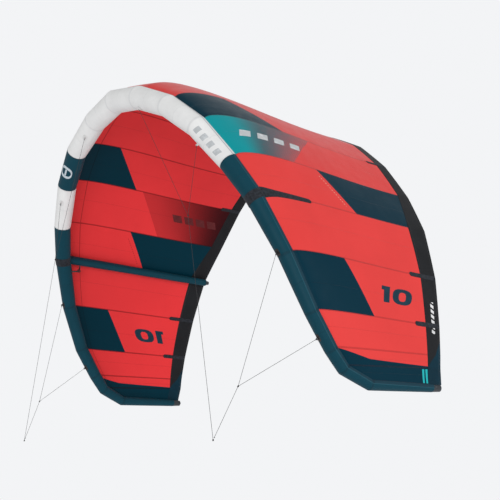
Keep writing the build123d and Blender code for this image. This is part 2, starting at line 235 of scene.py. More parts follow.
def slab(name, top, under, slot, *materials, wrap=False, data=None):
    """A closed skin between two grids of points; a second material is for its under side.

    wrap joins the last column to the first.
    """
    rows, cols = top.shape[:2]
    points = np.concatenate([top.reshape(-1, 3), under.reshape(-1, 3)])
    half = rows * cols
    faces, kinds = [], []
    last = cols if wrap else cols - 1
    for r in range(rows - 1):
        for c in range(last):
            d = (c + 1) % cols
            a, b, e, f = r * cols + c, (r + 1) * cols + c, (r + 1) * cols + d, r * cols + d
            faces += [(a, b, e, f), (a + half, f + half, e + half, b + half)]
            kinds += [0, len(materials) - 1]
        if not wrap:
            a, b = r * cols, (r + 1) * cols
            faces += [(b, a, a + half, b + half)]
            a, b = a + cols - 1, b + cols - 1
            faces += [(a, b, b + half, a + half)]
            kinds += [0, 0]
    for c in range(last):
        d = (c + 1) % cols
        faces += [(c, d, d + half, c + half)]
        a, b = (rows - 1) * cols + c, (rows - 1) * cols + d
        faces += [(b, a, a + half, b + half)]
        kinds += [0, 0]
    a, b, e, f = (points[np.array(faces)[:, corner]] for corner in range(4))
    if (a * np.cross(b, e)).sum() + (a * np.cross(e, f)).sum() < 0:
        faces = [face[::-1] for face in faces]
    mesh = bpy.data.meshes.new(name)
    mesh.from_pydata(points.tolist(), [], faces)
    for key, values in (data or {}).items():
        layer = mesh.attributes.new(key, "FLOAT_VECTOR", "POINT")
        flat = np.concatenate([values.reshape(-1, 3)] * 2).astype(np.float32)
        layer.data.foreach_set("vector", flat.ravel())
    for material in materials:
        mesh.materials.append(material)
    mesh.polygons.foreach_set("material_index", kinds)
    mesh.polygons.foreach_set("use_smooth", [True] * len(faces))
    mesh.set_sharp_from_angle(angle=SHARP_FROM)
    mesh.validate()
    return link(bpy.data.objects.new(name, mesh), "kite")


def curve(name, points, radius, body, material, closed=False, order=3):
    data = bpy.data.curves.new(name, "CURVE")
    data.dimensions = "3D"
    data.bevel_depth = radius
    data.bevel_resolution = 3
    data.resolution_u = 10
    data.use_fill_caps = True
    spline = data.splines.new("NURBS")
    spline.points.add(len(points) - 1)
    for point, place in zip(spline.points, points):
        point.co = (*place, 1)
    spline.use_cyclic_u, spline.use_endpoint_u = closed, not closed
    spline.order_u = order
    data.materials.append(material)
    return link(bpy.data.objects.new(name, data), body)


# ---- materials
class Shader:
    """Builds one material's nodes."""

    def __init__(self, name, **sockets):
        self.material = bpy.data.materials.new(name)
        self.material.use_nodes = True
        self.tree = self.material.node_tree
        self.skin = self.tree.nodes["Principled BSDF"]
        for key, value in sockets.items():
            self.skin.inputs[key.replace("_", " ").title().replace("Ior", "IOR")].default_value = value

    def feed(self, socket, item):
        if isinstance(item, bpy.types.NodeSocket):
            self.tree.links.new(item, socket)
        else:
            socket.default_value = (*item, 1.0) if isinstance(item, tuple) else item

    def node(self, kind, items, **settings):
        """A new node, set up and with its inputs fed by name or number."""
        node = self.tree.nodes.new("ShaderNode" + kind)
        for key, value in settings.items():
            setattr(node, key, value)
        for key, item in items.items():
            self.feed(node.inputs[key], item)
        return node

    def math(self, operation, *items):
        return self.node("Math", dict(enumerate(items)), operation=operation).outputs[0]

    def chain(self, operation, *items):
        total = items[0]
        for item in items[1:]:
            total = self.math(operation, total, item)
        return total

    plus = partialmethod(chain, "ADD")
    less = partialmethod(chain, "SUBTRACT")
    times = partialmethod(chain, "MULTIPLY")
    most = partialmethod(chain, "MAXIMUM")
    above = partialmethod(chain, "GREATER_THAN")
    below = partialmethod(chain, "LESS_THAN")

    def scaled(self, value, gain, offset=0.0):
        return self.math("MULTIPLY_ADD", value, gain, offset)

    def inside(self, value, low, high):
        return self.times(self.above(value, low), self.below(value, high))

    def ramp(self, value, low, high, to_low=0.0, to_high=1.0):
        items = dict(enumerate((value, low, high, to_low, to_high)))
        return self.node("MapRange", items, interpolation_type="SMOOTHSTEP").outputs[0]

    def mix(self, share, low, high):
        return self.node("Mix", {0: share, 6: low, 7: high}, data_type="RGBA").outputs[2]

    def shaded(self, colour, value):
        return self.node("HueSaturation", {"Color": colour, "Value": value}).outputs[0]

    def attribute(self, name):
        return self.node("Attribute", {}, attribute_name=name).outputs["Vector"]

    def place(self):
        return self.node("TexCoord", {}).outputs["Object"]

    def split(self, vector):
        return self.node("SeparateXYZ", {0: vector}).outputs[:3]

    def noise(self, vector, scale, detail=3.0, rough=0.5):
        items = {"Vector": vector, "Scale": scale, "Detail": detail, "Roughness": rough}
        return self.node("TexNoise", items).outputs[0]

    def stretch(self, vector, x, y, z=1.0):
        node = self.node("Mapping", {"Vector": vector})
        node.inputs["Scale"].default_value = (x, y, z)
        return node.outputs[0]

    def wave(self, value, pitch):
        """0 to 1 and back once in every pitch."""
        turn = self.times(value, 2 * math.pi / pitch)
        return self.scaled(self.math("SINE", turn), 0.5, 0.5)

    def saw(self, value, pitch):
        return self.math("FRACT", self.math("DIVIDE", value, pitch))

    def line(self, distance, width, soft=0.3):
        """1 within width of zero distance, with a soft edge."""
        away = self.math("ABSOLUTE", distance)
        return self.ramp(away, width * (1 - soft), width * (1 + soft), 1.0, 0.0)

    def bump(self, height, distance, strength=1.0):
        node = self.node("Bump", {"Distance": distance, "Strength": strength, "Height": height})
        before = self.skin.inputs["Normal"]
        if before.is_linked:
            self.tree.links.new(before.links[0].from_socket, node.inputs["Normal"])
        self.tree.links.new(node.outputs[0], before)

    def colour(self, item):
        self.feed(self.skin.inputs["Base Color"], item)

    def rough(self, item):
        self.feed(self.skin.inputs["Roughness"], item)

    def weave(self, x, y, pitch, depth):
        """Plain weave: threads over and under each other."""
        over = self.times(self.wave(x, pitch), self.wave(y, 2 * pitch))
        under = self.times(self.wave(y, pitch), self.scaled(self.wave(y, 2 * pitch), -1, 1))
        self.bump(self.plus(over, under), depth, 0.35)

    def zigzag(self, along, distance, pitch, reach, thread=0.0006):
        """A zigzag stitch line down a seam."""
        fold = self.math("ABSOLUTE", self.scaled(self.saw(along, pitch), 2, -1))
        swing = self.scaled(fold, 2 * reach, -reach)
        return self.line(self.less(distance, swing), thread)


RED = (0.715, 0.054, 0.050)
# The inside red is brighter than RED: painted light on the inside face of the canopy.
RED_INSIDE_LIT = (0.78, 0.042, 0.046)
NAVY_INK = (0.0005, 0.026, 0.045)
NAVY_INSIDE = (0.0002, 0.028, 0.046)
NAVY_CLOTH = (0.002, 0.046, 0.070)
TEAL = (0.006, 0.290, 0.320)
SLATE = (0.055, 0.115, 0.135)
WHITE = (0.80, 0.80, 0.79)
BLACK = (0.013, 0.014, 0.016)


def uneven(shader, colour, vector, scale, depth):
    """Slow changes of shade, as in dyed and handled cloth."""
    cloud = shader.noise(vector, scale, 4.0, 0.6)
    return shader.shaded(colour, shader.ramp(cloud, 0.3, 0.7, 1 - depth, 1.0))


# The navy patches: first seam, and the chord share and slope of the edge they are cut along.
PATCHES = (
    (2.0, 0.22, 0.165, "LESS_THAN"),
    (4.0, 0.4145, 0.135, "GREATER_THAN"),
    (6.0, 0.3135, 0.111, "LESS_THAN"),
)
TIP_NAVY = ((2.2, 8.05), (0.49, 8.462))  # seam coordinate by chord share: slope, base
BAND_NAVY = (9.84, 7.506)
BARS_FROM, BARS_TO = 9.09, 9.95
BARS = ((-0.060, 0.796), (-0.048, 0.834))  # chord share past BARS_FROM: slope, base
DOT_PITCH, RIPSTOP_PITCH, RIPSTOP_THREAD = 0.016, 0.0055, 0.00045
ZIGZAG_PITCH = 0.007
CLOSING_SEAM = 2.55  # angle round the tube


def canopy_material(name, inside):
    """Ripstop with its sewn-in panels and its print, in seam and chord coordinates; on the inside the print
    and the seams are painted shadow, as if lit through the cloth.
    """
    sh = Shader(name, specular_ior_level=0.05, sheen_weight=0.0 if inside else 0.24, sheen_roughness=0.28)
    u, s, seam = sh.split(sh.attribute("panel"))
    x, y, _ = sh.split(sh.attribute("cloth"))
    au = sh.math("ABSOLUTE", u)
    right = sh.above(u, 0.0)
    red = RED_INSIDE_LIT if inside else RED
    ink = NAVY_INSIDE if inside else NAVY_INK

    def edge(first, base, slope):
        return sh.scaled(sh.less(au, first), slope, base)

    def panel(first):
        return sh.inside(au, first, first + 1.0)

    patches = [sh.times(panel(first), sh.math(keep, s, edge(first, base, slope)))
               for first, base, slope, keep in PATCHES]
    lower = sh.math("MINIMUM", *[sh.scaled(s, *line) for line in TIP_NAVY])
    patches.append(sh.above(au, lower))
    navy = sh.most(*patches)

    # The printed panel isn't mirrored: it starts at the front on the right wing only.
    from_front = sh.math("DIVIDE", s, edge(3.0, 0.53, -0.24))
    from_rear = sh.math("DIVIDE", sh.scaled(s, -1, 1), edge(3.0, 0.58, -0.16))
    reach = sh.plus(sh.times(right, from_front), sh.times(sh.scaled(right, -1, 1), from_rear))
    printed = sh.times(panel(3.0), sh.below(reach, 1.0))
    dots = sh.times(sh.wave(sh.plus(x, y), DOT_PITCH), sh.wave(sh.less(x, y), DOT_PITCH))
    if inside:
        # Inside, the print is painted shadow: near-black red where the print is, darkest where it begins, as
        # if lit through the cloth.
        cover = sh.ramp(reach, 0.1, 1.0, 0.98, 0.30)
        ground = sh.mix(sh.times(printed, cover), red, (0.028, 0.003, 0.005))
    else:
        cover = sh.ramp(reach, 0.30, 1.05, 1.0, 0.10)
        on = sh.above(cover, sh.scaled(dots, 0.92, 0.02))
        paint = sh.mix(sh.ramp(reach, 0.16, 0.5), TEAL, SLATE)
        ground = sh.mix(sh.times(printed, on), red, paint)
    tone = sh.mix(navy, ground, ink)

    # Two short bars printed near the right tip, and a row of dots beside a navy panel.
    past = sh.less(u, BARS_FROM)
    rows = [sh.line(sh.less(s, sh.scaled(past, slope, base)), 0.0125, 0.06)
            for slope, base in BARS]
    bars = sh.times(sh.inside(u, BARS_FROM, BARS_TO), sh.most(*rows))
    if not inside:
        tone = sh.mix(bars, tone, (0.02, 0.42, 0.44))
    off = sh.less(s, edge(4.0, 0.3845, 0.135))
    row = sh.times(sh.line(off, 0.0022), sh.below(sh.saw(x, 0.018), 0.34))
    row = sh.times(row, sh.inside(au, 4.18, 4.86))
    # On the inside the row of dots is painted shadow, dark red as if lit through the cloth.
    tone = sh.mix(row, tone, (0.20, 0.012, 0.015) if inside else (0.85, 0.55, 0.40))

    # Seams: a doubled strip of cloth, a crease and two rows of zigzag stitches. The strip and the crease are
    # darkened with painted shade, much more on the inside, where the front seam is painted too, as if lit
    # through the cloth.
    strip = sh.line(seam, 0.006, 0.12)
    crease = sh.line(seam, 0.0012, 0.5)
    front = sh.line(sh.less(s, 0.115), 0.0020, 0.4)
    stitches = sh.most(*[sh.zigzag(y, sh.less(seam, at), ZIGZAG_PITCH, 0.0014) for at in (0.0034, -0.0034)])
    seam_shade_lines = sh.most(crease, strip, front) if inside else sh.most(crease, strip)
    seam_shade = sh.times(seam_shade_lines, 0.62 if inside else 0.27)
    tone = sh.mix(sh.times(stitches, 0.35), sh.shaded(tone, sh.scaled(seam_shade, -0.75, 1.0)), (0.12, 0.02, 0.025))
    sh.colour(uneven(sh, tone, sh.attribute("cloth"), 1.4, 0.07))

    threads = [sh.scaled(sh.saw(way, RIPSTOP_PITCH), RIPSTOP_PITCH, -RIPSTOP_PITCH / 2) for way in (x, y)]
    grid = sh.most(*[sh.line(away, RIPSTOP_THREAD) for away in threads])
    sh.bump(grid, 0.0002, 0.25)
    pull = sh.noise(sh.stretch(sh.attribute("cloth"), 7.0, 1.3), 1.0, 4.0, 0.55)
    sh.bump(pull, 0.012, 0.22)
    sh.bump(sh.plus(strip, stitches), 0.0008, 0.6)
    sh.rough(sh.ramp(sh.noise(sh.attribute("cloth"), 9.0), 0.3, 0.7, 0.36, 0.46))
    return sh.material


def band_material():
    """Black woven trailing-edge band that turns navy at the tips, with its stitch rows."""
    sh = Shader("trailing_band_cloth", roughness=0.6, specular_ior_level=0.12,
                sheen_weight=0.12, sheen_roughness=0.3)
    u, s, _ = sh.split(sh.attribute("panel"))
    x, y, back = sh.split(sh.attribute("cloth"))
    au = sh.math("ABSOLUTE", u)
    turn = sh.scaled(sh.less(1.0, s), *BAND_NAVY)
    tone = sh.mix(sh.above(au, turn), BLACK, NAVY_INK)
    dashes = sh.times(sh.inside(u, 6.52, 7.28), sh.inside(back, 0.046, 0.076),
                      sh.below(sh.saw(sh.plus(x, sh.scaled(back, 0.5)), 0.040), 0.62))
    tone = sh.mix(dashes, tone, (0.72, 0.72, 0.72))
    rows = sh.most(*[sh.zigzag(x, sh.less(back, at), 0.006, 0.0012) for at in (0.007, 0.018, 0.143)])
    tone = sh.mix(sh.times(rows, 0.6), tone, (0.09, 0.09, 0.095))
    sh.colour(uneven(sh, tone, sh.attribute("cloth"), 5.0, 0.25))
    sh.weave(x, y, 0.0016, 0.0003)
    sh.bump(sh.noise(sh.stretch(sh.attribute("cloth"), 9.0, 3.0), 1.0), 0.006, 0.2)
    sh.bump(rows, 0.0006, 0.6)
    return sh.material


def sleeve_material(name, base, thread, line=None):
    """Woven polyester of the inflated tubes: weave, ring seams and closing seam."""
    sh = Shader(name, roughness=0.5, sheen_weight=0.03, sheen_roughness=0.4, specular_ior_level=0.12)
    _, turn, seam = sh.split(sh.attribute("panel"))
    x, y, _ = sh.split(sh.attribute("cloth"))
    doubled = sh.line(seam, 0.010, 0.1)
    rows = sh.most(*[sh.zigzag(y, sh.plus(seam, at), ZIGZAG_PITCH, 0.0015) for at in (-0.006, 0.006)])
    fold = sh.line(seam, 0.0012, 0.5)
    closing = sh.less(turn, CLOSING_SEAM)
    rows = sh.most(rows, sh.zigzag(x, sh.times(closing, 0.07), ZIGZAG_PITCH, 0.0015))
    tone = uneven(sh, base, sh.attribute("cloth"), 6.0, 0.08)
    tone = sh.mix(sh.times(doubled, 0.25), tone, thread)
    tone = sh.mix(sh.times(sh.most(rows, fold), 0.6), tone, thread)
    # A thin line along the flap's raised edge: a painted highlight on the navy flap, painted shade on the
    # white flap.
    if line:
        tone = sh.mix(sh.line(y, 0.0022, 0.2), tone, line)
    sh.colour(tone)
    sh.weave(x, y, 0.0014, 0.0003)
    pucker = sh.times(sh.noise(sh.stretch(sh.attribute("cloth"), 4.0, 34.0), 1.0, 3.0),
                     sh.ramp(sh.math("ABSOLUTE", seam), 0.004, 0.060, 1.0, 0.10))
    sh.bump(pucker, 0.006, 0.25)
    sh.bump(sh.plus(doubled, rows), 0.0008, 0.6)
    return sh.material


def cloth_material(name, base, thread, pitch=0.0022, rough=0.7, depth=0.0006):
    """Coarse woven trim, placed by its position in space."""
    sh = Shader(name, roughness=rough, sheen_weight=0.05, sheen_roughness=0.5, specular_ior_level=0.2)
    x, y, z = sh.split(sh.place())
    near = sh.noise(sh.place(), 60.0, 2.0)
    sh.colour(sh.mix(sh.ramp(near, 0.3, 0.7), base, thread))
    sh.weave(sh.plus(x, z), sh.plus(y, sh.scaled(z, 0.5)), pitch, depth)
    return sh.material


def moulded_material(name, base, worn, rough=0.4):
    """Moulded plastic: fine grain, and patches rubbed paler."""
    sh = Shader(name, roughness=rough)
    grain = sh.noise(sh.place(), 900.0, 2.0)
    rub = sh.noise(sh.place(), 70.0, 4.0, 0.6)
    sh.colour(sh.mix(sh.ramp(rub, 0.52, 0.75), base, worn))
    sh.rough(sh.ramp(rub, 0.3, 0.7, rough - 0.06, rough + 0.12))
    sh.bump(grain, 0.0002, 0.3)
    return sh.material


def braid_material(name, base, fleck):
    sh = Shader(name, roughness=0.62, sheen_weight=0.05, sheen_roughness=0.5, specular_ior_level=0.25)
    x, y, z = sh.split(sh.place())
    up = sh.wave(sh.plus(z, sh.times(x, 0.6)), 0.0026)
    down = sh.wave(sh.less(z, sh.times(y, 0.6)), 0.0026)
    sh.colour(sh.mix(sh.times(up, down), base, fleck))
    sh.bump(sh.times(up, down), 0.0004, 0.5)
    return sh.material


def ink_material(name, base, rough=0.5):
    """Print on the cloth: the weave shows through it and it is rubbed thin in places."""
    sh = Shader(name, roughness=rough, specular_ior_level=0.2)
    rub = sh.noise(sh.place(), 25.0, 5.0, 0.65)
    thin = tuple(min(1.0, c * 1.35 + 0.006) for c in base)
    sh.colour(sh.mix(sh.ramp(rub, 0.45, 0.8), base, thin))
    x, y, z = sh.split(sh.place())
    sh.weave(sh.plus(x, z), sh.plus(y, z), 0.0016, 0.0002)
    return sh.material


CANOPY_OUT = canopy_material("canopy_ripstop_outside", False)
CANOPY_IN = canopy_material("canopy_ripstop_inside", True)
BAND = band_material()
DACRON_WHITE = sleeve_material("sleeve_cloth_white", WHITE, (0.60, 0.61, 0.62))
DACRON_NAVY = sleeve_material("sleeve_cloth_navy", NAVY_CLOTH, (0.004, 0.026, 0.040))
# The flaps' last colour is a painted line along their raised edge: shade on the white flap, a highlight on
# the navy flap.
FLAP_WHITE = sleeve_material("flap_cloth_white_edge_shade", (0.76, 0.76, 0.755), (0.55, 0.55, 0.57), (0.36, 0.37, 0.39))
FLAP_NAVY = sleeve_material("flap_cloth_navy_edge_highlight", (0.008, 0.042, 0.064), (0.002, 0.010, 0.016),
                            (0.014, 0.080, 0.112))
CHAFE = cloth_material("chafe_cloth", (0.010, 0.012, 0.016), (0.022, 0.026, 0.034))
WEBBING = cloth_material("webbing_black", (0.010, 0.010, 0.011), (0.035, 0.035, 0.037), 0.003, 0.6, 0.001)
WEBBING_WHITE = cloth_material("webbing_white", (0.62, 0.62, 0.61), (0.74, 0.74, 0.73), 0.003, 0.6, 0.001)
STITCH = cloth_material("reinforcement_cloth", (0.30, 0.31, 0.32), (0.42, 0.43, 0.44), 0.002)
MOULDED = moulded_material("moulded_black", (0.012, 0.013, 0.015), (0.045, 0.046, 0.05))
CAP_PLASTIC = moulded_material("end_cap_plastic", (0.014, 0.020, 0.026), (0.05, 0.06, 0.07), 0.35)
VALVE_PLASTIC = moulded_material("valve_plastic", (0.20, 0.21, 0.22), (0.34, 0.35, 0.36), 0.38)
HOSE_PLASTIC = moulded_material("hose_plastic", (0.022, 0.024, 0.028), (0.050, 0.054, 0.060), 0.28)
FILM = moulded_material("bladder_film", (0.62, 0.65, 0.67), (0.74, 0.77, 0.79), 0.3)
BRAID = braid_material("bridle_braid", (0.022, 0.022, 0.024), (0.075, 0.075, 0.080))
INK_NAVY = ink_material("print_navy", NAVY_INK)
INK_WHITE = ink_material("print_white", (0.50, 0.52, 0.53))
INK_GREY = ink_material("print_grey", (0.47, 0.49, 0.50))
INK_BADGE = ink_material("print_badge", (0.50, 0.56, 0.60))
INK_SHADOW = ink_material("print_shadow_seen_through", (0.10, 0.008, 0.010))

# ---- bridle lines
CORD_RADIUS = 1.3 * MM
CORD_START, KNOT_GAP, OPEN_PIVOT, STOPPER = 0.014, 0.008, 0.018, 0.0063
TABS = {"inner": (1, 0.31, 55), "outer": (3, 0.33, 45), "low": (5, 0.93, 5), "tip": (7, 0.60, 5)}
TAB_WIDTH, TAB_REACH, TAB_THICK, TAB_HOLE = 0.018, 0.011, 0.0024, 0.0035
UPPER_KNOT = (1.053, 0.018, -1.087)
LOWER_KNOT = (1.502, 0.122, -2.246)
LINE_END = (1.448, -0.027, -2.577)


def on_run(side, seam, share):
    """Table row of a seam, and the tube's centre, radius and direction a share past it."""
    near, far = row_of(side * seam), row_of(side * (seam + 1))
    middle, size = (table[near] * (1 - share) + table[far] * share for table in (CENTRE, SIZE))
    return near, middle, size, unit(CENTRE[far] - CENTRE[near])


def tab_frame(side, name):
    """Foot of a tab on the tube, the way it sticks out, and the tube's direction."""
    seam, share, angle = TABS[name]
    near, middle, size, way = on_run(side, seam, share)
    turn = math.radians(angle)
    out = -(AFT[near] * math.cos(turn) + OUT[near] * math.sin(turn))
    out = unit(out - way * out.dot(way))
    return middle + out * (size + 0.5 * MM), out, way


def knot(name, at, way, body, size=0.0042, radius=0.0013):
    """A small pulled-tight overhand knot."""
    way = unit(np.asarray(way, float))
    side = unit(np.cross(way, (0.3, 0.9, 0.2)))
    other = np.cross(way, side)
    points = []
    for index in range(18):
        t = 2 * math.pi * index / 18
        reach = size * (0.42 + 0.28 * math.cos(3 * t))
        points.append(at + side * reach * math.cos(2 * t) + other * reach * math.sin(2 * t)
                      + way * size * 0.95 * math.sin(3 * t))
    return curve(name, points, radius, body, BRAID, closed=True)


def eye_loop(name, hole, start, way, body):
    """The loop that hitches a line to its tab, through the eye and round the nose."""
    out = unit(start - hole)
    through = np.cross(out, unit(way - out * way.dot(out)))
    half = [(start, -0.004, 0.003), (hole, 0.003, 0.0052), (hole, 0.0, 0.0046)]
    points = [start + out * 0.001]
    points += [at + out * back + through * aside for at, back, aside in half]
    points.append(hole - out * 0.0006)
    points += [at + out * back - through * aside for at, back, aside in half[::-1]]
    return curve(name, points, 0.0010, body, BRAID, closed=True)


def toward(start, finish, distance):
    return start + unit(finish - start) * distance


def bridle(word, side):
    mirror = np.array([side, 1, 1])
    upper, lower, end = (np.array(p) * mirror for p in (UPPER_KNOT, LOWER_KNOT, LINE_END))
    runs = []
    for level, joined, names in (("upper", upper, ("inner", "outer")), ("lower", lower, ("low", "tip"))):
        body = f"{level}_bridle_{word}"
        for name in names:
            foot, out, way = tab_frame(side, name)
            hole = foot + out * TAB_REACH
            start = toward(hole, joined, CORD_START)
            extras = [eye_loop(f"bridle_{name}_loop_{word}", hole, start, way, body),
                      knot(f"bridle_{name}_hitch_{word}", start, joined - hole, body, 0.0034, 0.0011)]
            runs.append((f"bridle_{name}_line", start, toward(joined, hole, KNOT_GAP), body, extras))
    for run, level, at in ((runs[0], "upper", upper), (runs[2], "lower", lower)):
        run[4].append(knot(f"bridle_{level}_knot_{word}", at, at - end, run[3], 0.0066, 0.0016))
    body = f"upper_leader_{word}"
    stopper = knot(f"pigtail_stopper_{word}", end, upper - end, body, 0.0058, 0.0017)
    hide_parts(f"pigtail_knot_{word}")
    start, finish = toward(upper, end, KNOT_GAP), toward(end, upper, STOPPER)
    runs.append(("bridle_upper_leader", start, finish, body, [stopper]))
    body = f"lower_leader_{word}"
    eye = toward(end, lower, OPEN_PIVOT)
    soft_eye = knot(f"bridle_lower_eye_{word}", eye, lower - end, body, 0.0036, 0.0012)
    runs.append(("bridle_lower_leader", toward(lower, end, KNOT_GAP), eye, body, [soft_eye]))
    for name, start, finish, body, extras in runs:
        piece = curve(f"{name}_cord_{word}", [start, (start + finish) / 2, finish], CORD_RADIUS, body,
                      BRAID)
        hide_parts(f"{name}_{word}")


for word, side in SIDES:
    bridle(word, side)

# ---- one-pump hoses
HOSE_RADIUS, HOSE_GAP = 6.5 * MM, 3.0 * MM
HOSE_FROM, HOSE_TO = 0.24, 0.11  # share of the tube run, share of the strut
HOSE_LEAVES = (0.85, -0.53)  # parts aft and outward of the way it leaves the tube
STRUT_RADIUS = (0.038, 0.037, 0.035, 0.033, 0.031)
STRUT_AT = (0.045, 0.22, 0.47, 0.73, 0.985)
STRUT_DROP = 0.005


def strut_axis(side, share, size):
    row = row_of(side * STRUT)
    return profile(row, np.asarray(share, float)) - UP[row] * (np.asarray(size)[..., None] + STRUT_DROP)


def strut_line(side, shares):
    """Centres along the strut, straight from station to station as its bladder is."""
    stations = strut_axis(side, STRUT_AT, STRUT_RADIUS)
    line = np.stack([np.interp(shares, STRUT_AT, stations[:, axis]) for axis in range(3)], -1)
    lead = np.minimum(shares - STRUT_AT[0], 0)[:, None] / (STRUT_AT[1] - STRUT_AT[0])
    return line + (stations[1] - stations[0]) * lead


def hose(word, side):
    near, middle, size, way = on_run(side, STRUT, HOSE_FROM)
    out = unit(AFT[near] * HOSE_LEAVES[0] + OUT[near] * HOSE_LEAVES[1])
    start = middle + out * (size + MM)
    chord = unit(CHORD[near])
    beside = unit(unit(way - chord * way.dot(chord)) * 0.94 - OUT[near] * 0.34)
    finish = strut_axis(side, HOSE_TO, STRUT_RADIUS[0]) + beside * (STRUT_RADIUS[0] + HOSE_GAP)
    points = [start, start + out * 0.048, finish + beside * 0.042, finish]
    name = f"onepump_hose_tube_{word}"
    piece = curve(name, points, HOSE_RADIUS, "kite", HOSE_PLASTIC)
    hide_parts(f"onepump_hose_{word}")
    bare = piece.data.copy()
    bare.bevel_depth = 0
    line = bpy.data.meshes.new_from_object(bpy.data.objects.new("bare_line", bare))


for word, side in SIDES:
    hose(word, side)

# ---- canopy
SHEET = 1.2 * MM
CANOPY_PARTS = ("centre", "inner", "shoulder", "upper", "middle", "lower", "tip")


def marks(u, v, seam, x, y, z=0.0):
    """What the shaders read: seam coordinates and the distance to a seam, and metres on the cloth."""
    u, v, seam, x, y, z = np.broadcast_arrays(u, v, seam, x, y, z)
    return {"panel": np.stack([u, v, seam], -1), "cloth": np.stack([x, y, z], -1)}


def canopy():
    us = np.linspace(-ELBOW, ELBOW, 20 * 12 + 1)
    shares = np.concatenate([np.linspace(0, 0.12, 13)[:-1], np.linspace(0.12, 1.0, 60)])
    u, s = np.meshgrid(us, shares, indexing="ij")
    length = between_rows(LENGTH, u)
    data = marks(u, s, seam_distance(u, SPAN_RUN), between_rows(SPAN_RUN, u), s * length, (1 - s) * length)
    s = np.minimum(s, 1 - 0.006 / length)
    piece = slab("canopy_sheet", *skin_off(u, s, SHEET, 0.0), "ripstop", CANOPY_OUT, CANOPY_IN, data=data)
    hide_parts(*[f"canopy_{part}_{word}" for part in CANOPY_PARTS for word, _ in SIDES])
    return piece


def trailing_band(word, side):
    """Doubled cloth along the trailing edge, folded round the hem."""
    us = np.linspace(min(0, side * ELBOW), max(0, side * ELBOW), 10 * 12 + 1)
    depth = np.array([1.0, 0.985, 0.9, 0.75, 0.5, 0.25, 0.10, 0.04, 0.012, 0.0])
    u, width = np.meshgrid(us, depth, indexing="ij")
    length = between_rows(LENGTH, u)
    back = width * between_rows(BAND_RUN, u)
    s = 1 - back / length
    bead = np.where(width < 0.05, 1.0, 0.0) * 0.9 * MM
    thin = np.where(width >= 1.0, 0.7, 1.0)
    layers = skin_off(u, s, (2.4 * MM + bead) * thin, -(0.9 * MM + bead) * thin)
    data = marks(u, s, seam_distance(u, SPAN_RUN), between_rows(SPAN_RUN, u), s * length, back)
    piece = slab(f"trailing_edge_band_{word}", *layers, "band_black", BAND, data=data)
    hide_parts(f"trailing_band_{word}")
    return piece


def panel_width(k, s, way):
    """Width of the panel beside seam k at chord share s, on the side that way points to."""
    near = profile(row_of(k), np.asarray(s, float))
    return np.linalg.norm(profile(row_of(k + way), np.asarray(s, float)) - near, axis=-1)


def strip_on_skin(name, k, shares, half, lift, thick, slot, inside=False, columns=9):
    """A patch along seam k whose half width follows the list half, in metres."""
    across = np.linspace(-1, 1, columns)
    s = np.repeat(np.asarray(shares)[:, None], columns, 1)
    y = np.asarray(half)[:, None] * across[None, :]
    width = np.where(y > 0, panel_width(k, s, 1), panel_width(k, s, -1))
    u = k + y / width
    thick = thick * (1 - 0.75 * np.abs(across[None, :]) ** 6)
    lifts = (-lift, -lift - thick) if inside else (SHEET + lift + thick, SHEET + lift)
    return slab(name, *skin_off(u, s, *lifts), slot, CHAFE)


def rounded(half, count=8):
    """A rounded end: distances from its tip and the half widths there."""
    turn = np.linspace(0, math.pi / 2, count)
    return half * (1 - np.cos(turn)), half * np.maximum(np.sin(turn), 0.08)


POCKET_LENGTH = {BADGE_OUT: 0.205, T1: 0.262, T2: 0.238}
POCKET_HALF = 0.0165
COVER_FRONT = (0.0, 0.004, 0.012, 0.022, 0.035, 0.05, 0.07)
COVER_TAIL = 0.255  # chord share that the joint cover's tail reaches
COVER_HALF_WIDTHS = ((0, 0.012, 0.035, 0.07, 0.12, 0.2, 0.26),  # chord share, half width
                     (0.046, 0.043, 0.036, 0.028, 0.024, 0.020, 0.018))
POCKET_FACES = (("outer", False, 1.3 * MM, 1.6 * MM), ("inner", True, 0.9 * MM, 4.6 * MM))


def pockets():
    made = []
    for word, side in SIDES:
        for k, length in POCKET_LENGTH.items():
            chord = LENGTH[row_of(k)]
            round_at, round_half = rounded(POCKET_HALF)
            tail = np.linspace(round_at[-1], length - 0.004, 10)[1:]
            shares = 1 - (length - np.concatenate([round_at, tail])) / chord
            half = np.concatenate([round_half, np.full(len(tail), POCKET_HALF)])
            for face, inside, lift, thick in POCKET_FACES:
                name = f"batten_pocket_{face}_{k}_{word}"
                made.append(strip_on_skin(name, side * k, shares, half, lift, thick, "band_black", inside))
    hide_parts("batten_pockets")
    return made


def joint_cover(word, side):
    """Chafe patch round the tube where the strut meets it, with its tail on the canopy."""
    k = side * STRUT
    low, high = sorted((k - side * 0.11, k + side * 0.08))
    us = np.unique(np.concatenate([np.linspace(low, k, 6), np.linspace(k, high, 6)]))
    turn = np.radians(np.linspace(-215, SEAMS[STRUT][4] + 2, 60))
    u, angle = np.meshgrid(us, turn, indexing="ij")
    rim = np.minimum(np.arange(len(us)), np.arange(len(us))[::-1])[:, None]
    thick = np.where(rim == 0, 0.7, 1.8) * MM
    layers = tube(u, angle, 1.9 * MM + thick), tube(u, angle, 0.7 * MM)
    cover = slab(f"strut_cover_{word}", *layers, "chafe_black", CHAFE)
    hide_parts(f"strut_joint_cover_{word}")
    shares = np.concatenate([COVER_FRONT, np.linspace(0.09, COVER_TAIL, 14)])
    half = np.interp(shares, *COVER_HALF_WIDTHS)
    round_at, round_half = rounded(half[-1], 7)
    tail_at = COVER_TAIL + (half[-1] - round_at[::-1]) / LENGTH[row_of(k)]
    shares = np.concatenate([shares, tail_at[1:]])
    half = np.concatenate([half, round_half[::-1][1:]])
    name = f"strut_cover_tail_{word}"
    return strip_on_skin(name, k, shares, half, 0.2 * MM, 2.0 * MM, "chafe_black", columns=13)


canopy_piece = canopy()
on_canopy = [trailing_band(word, side) for word, side in SIDES] + pockets()
on_canopy += [joint_cover(word, side) for word, side in SIDES]

